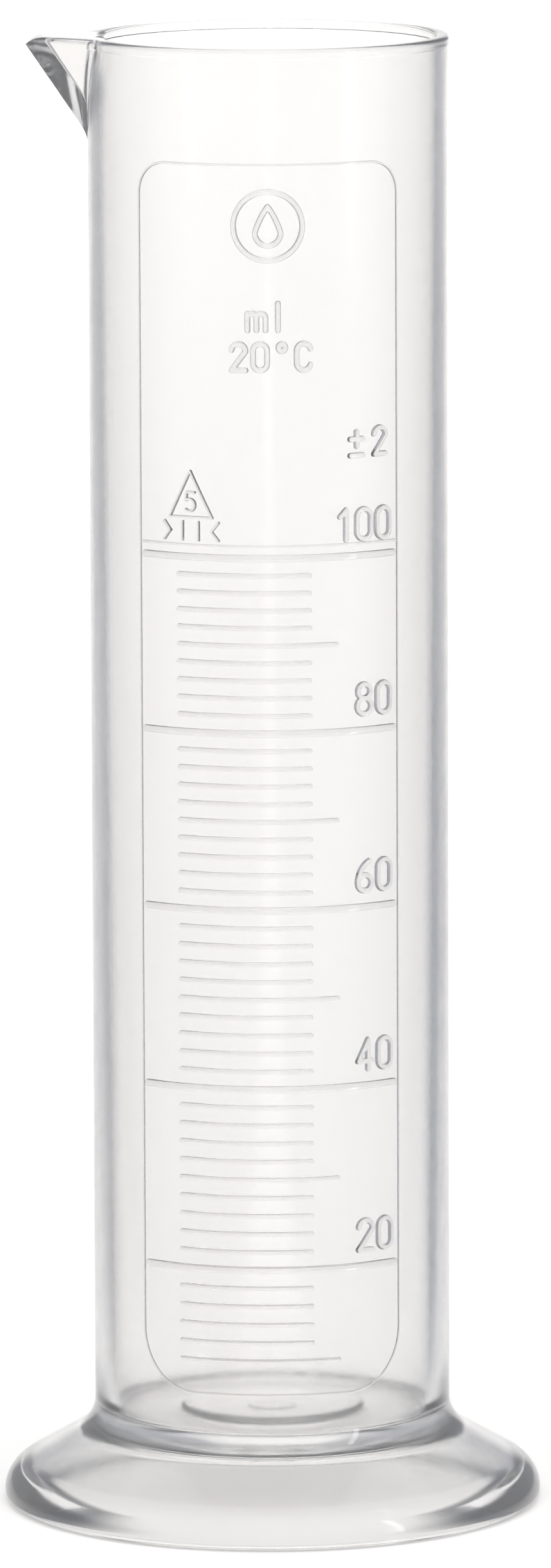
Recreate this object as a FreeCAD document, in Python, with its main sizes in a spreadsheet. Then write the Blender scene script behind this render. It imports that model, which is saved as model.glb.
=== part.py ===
import FreeCAD, Part
import Sketcher
import math
import os

# Low-form measuring cylinder for 100 ml, moulded in natural polypropylene.
# Millimetres, +Z up, origin at the middle of the foot's resting face.
# The scale faces -Y and the pouring spout points to -X.
# Azimuths are measured from -Y, positive towards +X.

DIMENSIONS = [
    ("tube_radius", 19.85, "outside of the straight tube"),
    ("wall", 2.3, "tube wall just above the floor"),
    ("bore_draft", 0.37, "draft of the bore in degrees, wider towards the rim"),
    ("flare", 0.10, "how much wider the tube is under the rim"),
    ("flare_length", 10.0, "height over which the tube widens"),
    ("freeboard", 55.65, "from the top line of the scale to the rim"),
    ("bead_height", 1.1, "rim bead"),
    ("bead_proud", 0.15, "how far the bead stands out of the tube"),
    ("bead_round", 0.5, "rounding of the rim's two edges"),
    ("foot_radius", 30.0, "widest ring of the foot"),
    ("lip_height", 1.1, "height of the widest ring above the table"),
    ("lip_round", 3.8, "rounding over the top of the foot's lip"),
    ("lip_width", 2.9, "lip from its widest ring in to the hollow"),
    ("cone_slope", 30.0, "slope of the foot below the horizontal, in degrees"),
    ("skirt_wall", 1.6, "wall of the sloping foot"),
    ("collar_round", 4.5, "hollow rounding between the foot and the tube"),
    ("floor_drop", 1.5, "from the top of that rounding down to the floor's face"),
    ("floor_thickness", 2.4, "moulded floor"),
    ("floor_round", 0.8, "rounding between the floor and the bore"),
    ("disc_radius", 9.8, "raised witness disc of the core's valve"),
    ("disc_height", 0.4, "how far that disc stands up"),
    ("gate_radius", 2.3, "gate mark under the floor"),
    ("gate_height", 0.4, "how far the gate mark hangs down"),
    ("zero_drop", 1.2, "from the floor's face down to the zero of the scale"),
    ("relief", 0.35, "height of lines and figures above the wall"),
    ("long_line", 0.8, "thickness of the lines at each 20 ml"),
    ("short_line", 0.55, "thickness of the other lines"),
    ("long_line_angle", 44.0, "half the arc of the lines at each 20 ml"),
    ("line_start_angle", 30.4, "left end of the other lines"),
    ("middle_line_angle", 22.5, "right end of the lines at 10, 30, 50, 70 and 90 ml"),
    ("short_line_angle", 13.6, "right end of the 2 ml lines"),
    ("figure_height", 3.95, "figures of the scale"),
    ("figure_rise", 1.45, "from a line up to the figure on it"),
    ("stroke", 0.65, "stroke of the figures"),
    ("witness", 0.12, "height of the mould's witness lines"),
    ("witness_width", 0.28, "width of the mould's witness lines"),
    ("panel_angle", 45.3, "half the arc of the panel that holds the scale"),
    ("panel_margin", 1.3, "from the panel's upper edge up to where the tube widens"),
    ("panel_foot", 3.6, "from the collar up to the panel's lower edge"),
    ("panel_round", 3.6, "rounding of the panel's upper corners"),
    ("panel_foot_round", 7.0, "rounding of the panel's lower corners"),
    ("split_rise", 1.45, "from the top line up to the panel's split line"),
    ("figure_arc", 7.5, "arc of one figure of the scale, in degrees"),
    ("figure_right", 42.5, "right end of the figures of the scale"),
    ("mark_height", 3.55, "figures of the marks above the scale"),
    ("tolerance_rise", 10.7, "from the top line up to the tolerance mark"),
    ("tolerance_left", 24.5, "left end of the tolerance mark"),
    ("tolerance_right", 41.8, "right end of the tolerance mark"),
    ("temperature_drop", 22.9, "from the panel's upper edge down to the temperature mark"),
    ("temperature_left", -12.8, "left end of the temperature mark"),
    ("temperature_right", 14.6, "right end of the temperature mark"),
    ("unit_drop", 18.5, "from the panel's upper edge down to the unit mark"),
    ("unit_left", -7.0, "left end of the unit mark"),
    ("unit_right", 6.5, "right end of the unit mark"),
    ("emblem_drop", 10.9, "from the panel's upper edge down to the round emblem"),
    ("emblem_size", 8.2, "round emblem"),
    ("drop_size", 4.9, "drop inside the round emblem"),
    ("resin_rise", 4.2, "from the top line up to the triangle of the resin mark"),
    ("resin_size", 5.4, "triangle of the resin mark"),
    ("resin_figure", 2.4, "figure inside the triangle"),
    ("resin_azimuth", -25.4, "middle of the resin mark"),
    ("chevron_rise", 1.7, "from the top line up to the chevrons"),
    ("chevron_size", 2.3, "chevrons under the resin mark"),
    ("chevron_arc", 22.0, "arc of the chevrons, in degrees"),
    ("spout_reach", 7.45, "how far the spout would stand out of the tube with a sharp upper edge"),
    ("spout_half_angle", 20.7, "half the arc of the spout where it leaves the tube"),
    ("spout_depth", 11.4, "from the rim down to the foot of the spout's keel"),
    ("spout_nose", 1.6, "rounding of the spout's tip, seen from above"),
    ("spout_round", 2.9, "rounding of the upper edge at the spout's tip"),
    ("spout_wall", 1.2, "side wall of the spout"),
    ("tip_wall", 3.35, "from that sharp edge in to the pouring channel"),
    ("channel_nose", 1.0, "rounding of the pouring channel, seen from above"),
    ("channel_depth", 8.6, "from the rim down to the foot of the pouring channel"),
]

FULL_TURN = 360
LONG_LINES = [20, 40, 60, 80, 100]
MIDDLE_LINES = [10, 30, 50, 70, 90]
TOP_LINE = 100
ML_PER_LINE = 2
MM3_PER_ML = 1000
BEYOND = 1  # mm that a cutting body passes beyond the face it cuts
NEARLY = 0.01  # mm within which two heights count as one
APEX_SHARE = 0.02  # of its top size, where a body that shrinks towards a point is ended

doc = FreeCAD.newDocument("graduated_cylinder")
sheet = doc.addObject("Spreadsheet::Sheet", "Dims")
for row, (alias, number, meaning) in enumerate(DIMENSIONS, start=1):
    sheet.set(f"A{row}", alias)
    sheet.set(f"B{row}", str(number))
    sheet.setAlias(f"B{row}", alias)
    sheet.set(f"C{row}", meaning)
doc.recompute()


def size(expression):
    """The value of an expression over the sheet, as a plain number."""
    return float(sheet.evalExpression(str(expression)))


# Sizes that follow from the driving ones, as expressions over the sheet.
SLOPE = "(Dims.cone_slope * 1deg)"
DRAFT = "tan(Dims.bore_draft * 1deg)"
BORE = "(Dims.tube_radius - Dims.wall)"

LIP_CENTRE_R = "(Dims.foot_radius - Dims.lip_round)"
CONE_LOW_R = f"({LIP_CENTRE_R} + Dims.lip_round * sin({SLOPE}))"
CONE_LOW_Z = f"(Dims.lip_height + Dims.lip_round * cos({SLOPE}))"
CONE_HIGH_R = f"(Dims.tube_radius + Dims.collar_round * (1 - sin({SLOPE})))"
CONE_HIGH_Z = f"({CONE_LOW_Z} + ({CONE_LOW_R} - {CONE_HIGH_R}) * tan({SLOPE}))"
COLLAR_TOP = f"({CONE_HIGH_Z} + Dims.collar_round * cos({SLOPE}))"

FLOOR_TOP = f"({COLLAR_TOP} - Dims.floor_drop)"
FLOOR_BOTTOM = f"({FLOOR_TOP} - Dims.floor_thickness)"
BORE_START = f"({FLOOR_TOP} + Dims.floor_round)"

INNER_LOW_R = f"({CONE_LOW_R} - Dims.skirt_wall * sin({SLOPE}))"
INNER_LOW_Z = f"({CONE_LOW_Z} - Dims.skirt_wall * cos({SLOPE}))"
INNER_HIGH_R = f"({CONE_HIGH_R} - Dims.skirt_wall * sin({SLOPE}))"
INNER_HIGH_Z = f"({CONE_HIGH_Z} - Dims.skirt_wall * cos({SLOPE}))"
HOLLOW_R = f"({INNER_HIGH_R} - ({FLOOR_BOTTOM} - {INNER_HIGH_Z}) / tan({SLOPE}))"
HOLLOW_LIP_R = "(Dims.foot_radius - Dims.lip_width)"

SCALE_ZERO = f"({FLOOR_TOP} - Dims.zero_drop)"


def line_height(millilitres):
    """Height of the line for a volume: the drafted bore is a cone, so its radius cubed grows evenly."""
    cubed = f"(pow({BORE}; 3) + 3 * {DRAFT} * {millilitres * MM3_PER_ML} / pi)"
    return f"({SCALE_ZERO} + (pow({cubed}; 1 / 3) - {BORE}) / {DRAFT})"


TOP_LINE_Z = line_height(TOP_LINE)
RIM = f"({TOP_LINE_Z} + Dims.freeboard)"
BEAD_BOTTOM = f"({RIM} - Dims.bead_height)"
FLARE_START = f"({BEAD_BOTTOM} - Dims.flare_length)"
PANEL_TOP = f"({FLARE_START} - Dims.panel_margin)"
RIM_R = "(Dims.tube_radius + Dims.flare)"
BEAD_R = f"({RIM_R} + Dims.bead_proud)"


def bore_at(height):
    """Radius of the drafted bore at a height."""
    return f"({BORE} + ({height} - {BORE_START}) * {DRAFT})"


# ---------------------------------------------------------------- turned pieces

# Outlines run anticlockwise, so an arc that bulges to the left bites into the piece.
INWARD = 1
OUTWARD = -1


def tie_point(sketch, segment, end, radius, height):
    """Ties one end of a segment to a radius and a height, each an expression or "0"."""
    for kind, expression, axis in (("DistanceX", radius, -2), ("DistanceY", height, -1)):
        if expression == "0":
            sketch.addConstraint(Sketcher.Constraint("PointOnObject", segment, end, axis))
            continue
        tie = Sketcher.Constraint(kind, -1, 1, segment, end, size(expression))
        index = sketch.addConstraint(tie)
        sketch.setExpression(f"Constraints[{index}]", expression)


def middle_of_arc(start, finish, radius, side):
    """A point on the arc of the given radius that bulges to one side of its chord."""
    chord = finish - start
    half = chord.Length / 2
    rise = radius - math.sqrt(radius ** 2 - half ** 2)
    left = FreeCAD.Vector(-chord.y, chord.x, 0).normalize()
    return (start + finish) * 0.5 + left * rise * side


def draw_outline(sketch, outline):
    """Draws a closed outline of (radius, height) corners, tied to the sheet by expressions.

    A corner may add (rounding, side): the segment that leaves it is then an arc.
    """
    corners = [FreeCAD.Vector(size(c[0]), size(c[1]), 0) for c in outline]
    ends = []
    for step, corner in enumerate(outline):
        start = corners[step]
        finish = corners[(step + 1) % len(corners)]
        if len(corner) == 2:
            segment = sketch.addGeometry(Part.LineSegment(start, finish))
            ends.append((segment, 1, 2))
            continue
        radius, side = corner[2]
        middle = middle_of_arc(start, finish, size(radius), side)
        segment = sketch.addGeometry(Part.Arc(start, middle, finish))
        drawn_start = sketch.getPoint(segment, 1)
        runs_forward = (drawn_start - start).Length < (drawn_start - finish).Length
        ends.append((segment, 1, 2) if runs_forward else (segment, 2, 1))
        index = sketch.addConstraint(Sketcher.Constraint("Radius", segment, size(radius)))
        sketch.setExpression(f"Constraints[{index}]", radius)
    for step, (segment, start_end, _) in enumerate(ends):
        before, _, finish_end = ends[step - 1]
        sketch.addConstraint(Sketcher.Constraint("Coincident", before, finish_end, segment, start_end))
        tie_point(sketch, segment, start_end, outline[step][0], outline[step][1])


def turned_body(label, outline):
    """A body turned round +Z from one outline."""
    body = doc.addObject("PartDesign::Body", label)
    plane = next(p for p in body.Origin.OriginFeatures if p.Role == "XZ_Plane")
    sketch = body.newObject("Sketcher::SketchObject", label + "_outline")
    sketch.AttachmentSupport = (plane, [""])
    sketch.MapMode = "FlatFace"
    draw_outline(sketch, outline)
    turn = body.newObject("PartDesign::Revolution", label + "_turn")
    turn.Profile = sketch
    turn.ReferenceAxis = (sketch, ["V_Axis"])
    turn.Angle = FULL_TURN
    return body


def tube_outline():
    return [
        (bore_at(COLLAR_TOP), COLLAR_TOP),
        ("Dims.tube_radius", COLLAR_TOP),
        ("Dims.tube_radius", FLARE_START),
        (RIM_R, BEAD_BOTTOM),
        (bore_at(BEAD_BOTTOM), BEAD_BOTTOM),
    ]


def bead_outline():
    shoulder = f"({RIM} - Dims.bead_round)"
    return [
        (bore_at(BEAD_BOTTOM), BEAD_BOTTOM),
        (BEAD_R, BEAD_BOTTOM),
        (BEAD_R, shoulder, ("Dims.bead_round", OUTWARD)),
        (f"({BEAD_R} - Dims.bead_round)", RIM),
        (f"({bore_at(shoulder)} + Dims.bead_round)", RIM, ("Dims.bead_round", OUTWARD)),
        (bore_at(shoulder), shoulder),
    ]


def floor_outline():
    return [
        ("0", FLOOR_BOTTOM),
        (BORE, FLOOR_BOTTOM),
        (BORE, BORE_START, ("Dims.floor_round", INWARD)),
        (f"({BORE} - Dims.floor_round)", FLOOR_TOP),
        ("0", FLOOR_TOP),
    ]


def collar_outline():
    return [
        (BORE, FLOOR_BOTTOM),
        (HOLLOW_R, FLOOR_BOTTOM),
        (INNER_HIGH_R, INNER_HIGH_Z),
        (CONE_HIGH_R, CONE_HIGH_Z, ("Dims.collar_round", INWARD)),
        ("Dims.tube_radius", COLLAR_TOP),
        (bore_at(COLLAR_TOP), COLLAR_TOP),
        (BORE, BORE_START),
    ]


def skirt_outline():
    return [
        (INNER_HIGH_R, INNER_HIGH_Z),
        (INNER_LOW_R, INNER_LOW_Z),
        (CONE_LOW_R, CONE_LOW_Z),
        (CONE_HIGH_R, CONE_HIGH_Z),
    ]


def lip_outline():
    return [
        (HOLLOW_LIP_R, "0"),
        ("(Dims.foot_radius - Dims.lip_height)", "0", ("Dims.lip_height", OUTWARD)),
        ("Dims.foot_radius", "Dims.lip_height", ("Dims.lip_round", OUTWARD)),
        (CONE_LOW_R, CONE_LOW_Z),
        (INNER_LOW_R, INNER_LOW_Z),
    ]


def disc_outline(radius, low, high):
    """A plain disc between two heights."""
    return [("0", low), (radius, low), (radius, high), ("0", high)]


# ---------------------------------------------------------------- scale lines

def raised_lines(label, volumes, thickness, left, right):
    """Raised lines at the given volumes, turned round +Z from one azimuth to another."""
    sections = doc.addObject("Sketcher::SketchObject", label + "_sections")
    yaw = f"(({right}) + ({left})) / 2 - 90"
    turned = f"create(<<rotation>>; {yaw}; 0; 90)"
    sections.setExpression("Placement", f"create(<<placement>>; create(<<vector>>; 0; 0; 0); {turned})")
    outer = "(Dims.tube_radius + Dims.relief)"
    for volume in volumes:
        height = line_height(volume)
        low = f"({height} - {thickness} / 2)"
        high = f"({height} + {thickness} / 2)"
        crown_low = f"({height} - {thickness} / 3)"
        crown_high = f"({height} + {thickness} / 3)"
        section = [
            ("Dims.tube_radius", low),
            (outer, crown_low),
            (outer, crown_high),
            ("Dims.tube_radius", high),
        ]
        draw_outline(sections, section)
    lines = doc.addObject("Part::Revolution", label)
    lines.Source = sections
    lines.Axis = (0, 0, 1)
    lines.Base = (0, 0, 0)
    lines.Symmetric = True
    lines.Solid = True
    lines.setExpression("Angle", f"({right}) - ({left})")
    return lines


# ---------------------------------------------------------------- raised figures

# A figure is drawn with the middle line of its strokes, one unit high. A stroke is a list of steps:
# (x, y) goes there straight, (x, y, x, y) goes through the first point to the second on an arc.
BELLY = 0.265
WIDTH = 2 * BELLY

FIGURES = {
    "0": [[(0, BELLY), (0, 1 - BELLY), (BELLY, 1, WIDTH, 1 - BELLY),
           (WIDTH, BELLY), (BELLY, 0, 0, BELLY)]],
    "1": [[(0.05, 0.78), (BELLY, 1), (BELLY, 0)]],
    "2": [[(0, 0.76), (BELLY, 1, WIDTH, 0.70), (0, 0), (WIDTH, 0)]],
    "4": [[(0.38, 1), (0, 0.28), (WIDTH, 0.28)], [(0.38, 1), (0.38, 0)]],
    "5": [[(0.50, 1), (0.06, 1), (0.02, 0.58), (WIDTH, 0.31, 0, 0.10)]],
    "6": [[(0.44, 1), (0.10, 0.66, 0, BELLY)],
          [(0, BELLY), (BELLY, 0, WIDTH, BELLY), (BELLY, WIDTH, 0, BELLY)]],
    "8": [[(BELLY, 0), (0, BELLY, BELLY, WIDTH), (WIDTH, BELLY, BELLY, 0)],
          [(BELLY, WIDTH), (0.03, 0.765, BELLY, 1), (0.50, 0.765, BELLY, WIDTH)]],
    "C": [[(WIDTH, 0.80), (BELLY, 1, 0, 1 - BELLY), (0, BELLY), (BELLY, 0, WIDTH, 0.20)]],
    "degree": [[(0.13, 0.72), (0, 0.86, 0.13, 1), (0.26, 0.86, 0.13, 0.72)]],
    "plus_minus": [[(0, 0.62), (WIDTH, 0.62)], [(BELLY, 0.90), (BELLY, 0.34)], [(0, 0), (WIDTH, 0)]],
    "m": [[(0, 0), (0, 0.62)],
          [(0, 0.46), (0.17, 0.63, 0.34, 0.46), (0.34, 0)],
          [(0.34, 0.46), (0.51, 0.63, 0.68, 0.46), (0.68, 0)]],
    "l": [[(0, 0), (0, 1)]],
    "open": [[(0.40, 0), (0, 0.50), (0.40, 1)]],
    "close": [[(0, 0), (0.40, 0.50), (0, 1)]],
    "triangle": [[(0.50, 1), (0, 0), (1, 0), (0.50, 1)]],
    "ring": [[(0.50, 0), (0, 0.50, 0.50, 1), (1, 0.50, 0.50, 0)]],
    "drop": [[(0.33, 1), (0.10, 0.60, 0, 0.33), (0.33, 0, 0.66, 0.33), (0.56, 0.60, 0.33, 1)]],
}


def stroke_wire(steps, scale, left):
    """The middle line of one stroke, in millimetres, moved sideways by a distance."""
    def place(x, y):
        return FreeCAD.Vector(left + x * scale, y * scale, 0)

    here = place(*steps[0])
    edges = []
    for step in steps[1:]:
        there = place(*step[-2:])
        if len(step) == 2:
            edges.append(Part.LineSegment(here, there).toShape())
        else:
            edges.append(Part.Arc(here, place(*step[:2]), there).toShape())
        here = there
    return Part.Wire(edges)


def straight_face(start, finish, width):
    """The face of one straight stroke with round ends."""
    along = (finish - start).normalize() * (width / 2)
    across = FreeCAD.Vector(-along.y, along.x, 0)
    edges = [
        Part.LineSegment(start - across, finish - across).toShape(),
        Part.Arc(finish - across, finish + along, finish + across).toShape(),
        Part.LineSegment(finish + across, start + across).toShape(),
        Part.Arc(start + across, start - along, start - across).toShape(),
    ]
    return Part.Face(Part.Wire(edges))


def stroke_face(wire, width):
    """The face that a pen of the given width covers along a stroke."""
    if len(wire.Edges) == 1 and wire.Edges[0].Curve.TypeId == "Part::GeomLine":
        return straight_face(wire.Vertexes[0].Point, wire.Vertexes[1].Point, width)
    outer = Part.Face(wire.makeOffset2D(width / 2))
    if not wire.isClosed():
        return outer
    return outer.cut(Part.Face(wire.makeOffset2D(-width / 2))).Faces[0]


def wall_skin(low, high, height):
    """A thin ring on the straight tube, between two heights."""
    inner = size("Dims.tube_radius")
    ring = Part.makeCylinder(inner + height, high - low, FreeCAD.Vector(0, 0, low))
    return ring.cut(Part.makeCylinder(inner, high - low, FreeCAD.Vector(0, 0, low)))


def set_on_wall(face, azimuth, base, height):
    """Raises a flat face out of the tube's wall at an azimuth, with its own zero at the base height."""
    box = face.BoundBox
    depth = size("Dims.tube_radius")
    prism = face.extrude(FreeCAD.Vector(0, 0, depth))
    prism.rotate(FreeCAD.Vector(0, 0, 0), FreeCAD.Vector(1, 0, 0), 90)
    prism.translate(FreeCAD.Vector(0, -depth / 2, base))
    prism.rotate(FreeCAD.Vector(0, 0, 0), FreeCAD.Vector(0, 0, 1), azimuth)
    return prism.common(wall_skin(base + box.YMin - BEYOND, base + box.YMax + BEYOND, height))


def figure_solids(name, azimuth, base, full_height, stroke):
    """One raised figure, centred on an azimuth."""
    strokes = FIGURES[name]
    scale = full_height - stroke
    drawn = max(x for steps in strokes for step in steps for x in step[0::2]) * scale
    raised = []
    for steps in strokes:
        face = stroke_face(stroke_wire(steps, scale, -drawn / 2), stroke)
        face.translate(FreeCAD.Vector(0, stroke / 2, 0))
        raised.append(set_on_wall(face, azimuth, base, size("Dims.relief")))
    whole = raised[0].multiFuse(raised[1:]).removeSplitter() if len(raised) > 1 else raised[0]
    return whole.Solids


def feature(label, shape):
    """A document object that holds one ready shape."""
    made = doc.addObject("Part::Feature", label)
    made.Shape = shape
    return made


def raised_row(label, names, left, right, base, height, stroke):
    """Raised figures spread evenly between two azimuths."""
    step = (right - left) / len(names)
    solids = []
    for order, name in enumerate(names):
        solids += figure_solids(name, left + (order + 0.5) * step, base, height, stroke)
    return feature(label, Part.makeCompound(solids))


# ---------------------------------------------------------------- witness lines of the mould

def rounded_rectangle(half_width, low, high, low_round, high_round):
    """A flat rectangle with round corners."""
    corners = [(-half_width, low), (half_width, low), (half_width, high), (-half_width, high)]
    plate = Part.Face(Part.makePolygon([FreeCAD.Vector(x, y, 0) for x, y in corners + corners[:1]]))
    slab = plate.extrude(FreeCAD.Vector(0, 0, BEYOND))
    for height, rounding in ((low, low_round), (high, high_round)):
        level = [e for e in slab.Edges if abs(e.CenterOfMass.y - height) < NEARLY]
        upright = [e for e in level if e.BoundBox.ZLength > NEARLY]
        slab = slab.makeFillet(rounding, upright)
    return min(slab.Faces, key=lambda face: face.CenterOfMass.z)


def panel_line():
    """The witness line round the panel that holds the scale."""
    radius = size("Dims.tube_radius")
    angle = math.radians(size("Dims.panel_angle"))
    width = size("Dims.witness_width")
    low_round = size("Dims.panel_foot_round")
    high_round = size("Dims.panel_round")
    half = radius * math.sin(angle)
    inner_half = radius * math.sin(angle - width / radius)
    low = size(f"{COLLAR_TOP} + Dims.panel_foot")
    tall = size(PANEL_TOP) - low
    outer = rounded_rectangle(half, 0, tall, low_round, high_round)
    inner = rounded_rectangle(inner_half, width, tall - width, low_round - width, high_round - width)
    frame = outer.cut(inner).Faces[0]
    return feature("panel_line", set_on_wall(frame, 0, low, size("Dims.witness")))


def split_line():
    """The witness line across the panel, just above the top line of the scale."""
    radius = size("Dims.tube_radius")
    width = size("Dims.witness_width")
    angle = math.radians(size("Dims.panel_angle")) - width / radius
    half = radius * math.sin(angle)
    bar = Part.makePlane(2 * half, width, FreeCAD.Vector(-half, 0, 0))
    low = size(f"{TOP_LINE_Z} + Dims.split_rise") - width
    return feature("split_line", set_on_wall(bar, 0, low, size("Dims.witness")))


# ---------------------------------------------------------------- pouring spout

def pointed_plan(nose_x, nose, angle, inner_x):
    """A V that opens towards the tube, with a round nose centred at nose_x, as (x, y) points and an arc."""
    turn = FreeCAD.Vector(-math.sin(angle), math.cos(angle), 0) * nose
    centre = FreeCAD.Vector(nose_x, 0, 0)
    near = centre + turn
    far = FreeCAD.Vector(inner_x, near.y + (inner_x - near.x) * math.tan(angle), 0)
    mirror_near = FreeCAD.Vector(near.x, -near.y, 0)
    mirror_far = FreeCAD.Vector(far.x, -far.y, 0)
    edges = [
        Part.LineSegment(far, near).toShape(),
        Part.Arc(near, centre - FreeCAD.Vector(nose, 0, 0), mirror_near).toShape(),
        Part.LineSegment(mirror_near, mirror_far).toShape(),
        Part.LineSegment(mirror_far, far).toShape(),
    ]
    return Part.Wire(edges)


def tapering_down(plan, top, apex_x, apex_z):
    """A solid with the plan at its top that shrinks evenly towards an apex below."""
    high = plan.copy()
    high.translate(FreeCAD.Vector(0, 0, top))
    low = plan.copy()
    low.translate(FreeCAD.Vector(-apex_x, 0, 0))
    low.scale(APEX_SHARE)
    low.translate(FreeCAD.Vector(apex_x, 0, apex_z + (top - apex_z) * APEX_SHARE))
    return Part.makeLoft([low, high], True, True)


def spout_shapes(tube_solid):
    """The spout, which stands against the tube's outside, and the channel that opens into the bore."""
    radius = size("Dims.tube_radius")
    rim = size(RIM)
    tip = radius + size("Dims.spout_reach")
    nose = size("Dims.spout_nose")
    half_angle = math.radians(size("Dims.spout_half_angle"))
    wall = size("Dims.spout_wall")
    run = tip - nose - radius * math.cos(half_angle)
    rise = radius * math.sin(half_angle)
    angle = math.atan2(rise, run) - math.asin(nose / math.hypot(run, rise))

    outer_plan = pointed_plan(-(tip - nose), nose, angle, -radius / 2)
    keel_foot = rim - size("Dims.spout_depth")
    outer = tapering_down(outer_plan, rim, -(radius - wall / 4), keel_foot)

    inner_nose = size("Dims.channel_nose")
    inner_tip = tip - size("Dims.tip_wall")
    inner_plan = pointed_plan(-(inner_tip - inner_nose), inner_nose, angle, -radius / 2)
    channel_foot = rim - size("Dims.channel_depth")
    foot_x = -size(bore_at(channel_foot)) + wall / 4
    channel_top = rim + BEYOND
    scale_up = (channel_top - channel_foot) / (rim - channel_foot)
    tall_plan = inner_plan.copy()
    tall_plan.translate(FreeCAD.Vector(-foot_x, 0, 0))
    tall_plan.scale(scale_up)
    tall_plan.translate(FreeCAD.Vector(foot_x, 0, 0))
    channel = tapering_down(tall_plan, channel_top, foot_x, channel_foot)

    rounding = size("Dims.spout_round")
    corner = FreeCAD.Vector(-tip, -tip, keel_foot - BEYOND)
    block = Part.makeBox(tip, 2 * tip, rim - keel_foot + BEYOND, corner)
    outer_edges = [e for e in block.Edges if abs(e.CenterOfMass.x + tip) < NEARLY]
    rounded = block.makeFillet(rounding, [e for e in outer_edges if abs(e.CenterOfMass.z - rim) < NEARLY])
    spout = outer.cut(tube_solid).cut(channel).common(rounded)
    return spout, channel


def outside_of_tube():
    """The filled outside of the tube and the rim bead, against which the spout stands."""
    corners = [("0", COLLAR_TOP)] + tube_outline()[1:4]
    corners += [(BEAD_R, BEAD_BOTTOM), (BEAD_R, f"({RIM} + {BEYOND})"), ("0", f"({RIM} + {BEYOND})")]
    points = [FreeCAD.Vector(size(radius), 0, size(height)) for radius, height in corners]
    face = Part.Face(Part.makePolygon(points + points[:1]))
    return face.revolve(FreeCAD.Vector(0, 0, 0), FreeCAD.Vector(0, 0, 1), FULL_TURN)


def cut_by(label, base, tool):
    """A piece that is another body with the pouring channel cut out of it."""
    made = doc.addObject("Part::Cut", label)
    made.Base = base
    made.Tool = tool
    return made


# ---------------------------------------------------------------- the cylinder

tube_body = turned_body("turned_tube", tube_outline())
bead_body = turned_body("turned_bead", bead_outline())
spout_solid, channel_solid = spout_shapes(outside_of_tube())
channel = feature("pouring_channel", channel_solid)

pieces = {
    "tube_wall": cut_by("tube_wall", tube_body, channel),
    "rim_bead": cut_by("rim_bead", bead_body, channel),
    "pouring_spout": feature("pouring_spout", spout_solid),
    "base_collar": turned_body("base_collar", collar_outline()),
    "tube_floor": turned_body("tube_floor", floor_outline()),
    "foot_skirt": turned_body("foot_skirt", skirt_outline()),
    "foot_lip": turned_body("foot_lip", lip_outline()),
}
disc_top = f"({FLOOR_TOP} + Dims.disc_height)"
pieces["floor_disc"] = turned_body("floor_disc", disc_outline("Dims.disc_radius", FLOOR_TOP, disc_top))
gate_bottom = f"({FLOOR_BOTTOM} - Dims.gate_height)"
pieces["gate_mark"] = turned_body("gate_mark", disc_outline("Dims.gate_radius", gate_bottom, FLOOR_BOTTOM))

for volume in LONG_LINES:
    label = f"line_{volume:03d}_ml"
    pieces[label] = raised_lines(
        label, [volume], "Dims.long_line", "-Dims.long_line_angle", "Dims.long_line_angle")
for volume in MIDDLE_LINES:
    label = f"line_{volume:03d}_ml"
    pieces[label] = raised_lines(
        label, [volume], "Dims.short_line", "-Dims.line_start_angle", "Dims.middle_line_angle")
for start in range(10, TOP_LINE, 10):
    label = f"fine_lines_{start:03d}_ml"
    between = range(start + ML_PER_LINE, start + 10, ML_PER_LINE)
    pieces[label] = raised_lines(
        label, between, "Dims.short_line", "-Dims.line_start_angle", "Dims.short_line_angle")

stroke = size("Dims.stroke")
figure_right = size("Dims.figure_right")
for volume in LONG_LINES:
    digits = str(volume)
    label = f"figures_{volume:03d}_ml"
    left = figure_right - size("Dims.figure_arc") * len(digits)
    base = size(f"{line_height(volume)} + Dims.figure_rise")
    pieces[label] = raised_row(label, digits, left, figure_right, base, size("Dims.figure_height"), stroke)

MARKS = {
    "tolerance": (["plus_minus", "2"], f"{TOP_LINE_Z} + Dims.tolerance_rise"),
    "temperature": (["2", "0", "degree", "C"], f"{PANEL_TOP} - Dims.temperature_drop"),
    "unit": (["m", "l"], f"{PANEL_TOP} - Dims.unit_drop"),
}
for mark, (names, base) in MARKS.items():
    left = size(f"Dims.{mark}_left")
    right = size(f"Dims.{mark}_right")
    label = f"{mark}_mark"
    pieces[label] = raised_row(label, names, left, right, size(base), size("Dims.mark_height"), stroke)

emblem_base = size(f"{PANEL_TOP} - Dims.emblem_drop")
drop_base = emblem_base + size("(Dims.emblem_size - Dims.drop_size) / 2")
pieces["round_emblem"] = feature("round_emblem", Part.makeCompound(
    figure_solids("ring", 0, emblem_base, size("Dims.emblem_size"), stroke)
    + figure_solids("drop", 0, drop_base, size("Dims.drop_size"), stroke)))

resin_base = size(f"{TOP_LINE_Z} + Dims.resin_rise")
resin_azimuth = size("Dims.resin_azimuth")
thin_stroke = stroke / 2
pieces["resin_mark"] = feature("resin_mark", Part.makeCompound(
    figure_solids("triangle", resin_azimuth, resin_base, size("Dims.resin_size"), thin_stroke)
    + figure_solids("5", resin_azimuth, resin_base + stroke, size("Dims.resin_figure"), thin_stroke)))
half_chevrons = size("Dims.chevron_arc / 2")
pieces["chevron_mark"] = raised_row(
    "chevron_mark", ["close", "l", "l", "open"], resin_azimuth - half_chevrons, resin_azimuth + half_chevrons,
    size(f"{TOP_LINE_Z} + Dims.chevron_rise"), size("Dims.chevron_size"), thin_stroke)
pieces["panel_line"] = panel_line()
pieces["split_line"] = split_line()

doc.recompute()

# ---------------------------------------------------------------- checks and files

for item in doc.Objects:
    if "Invalid" in item.State or "Error" in item.State:
        raise RuntimeError(f"{item.Label} did not build: {item.State}")

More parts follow.
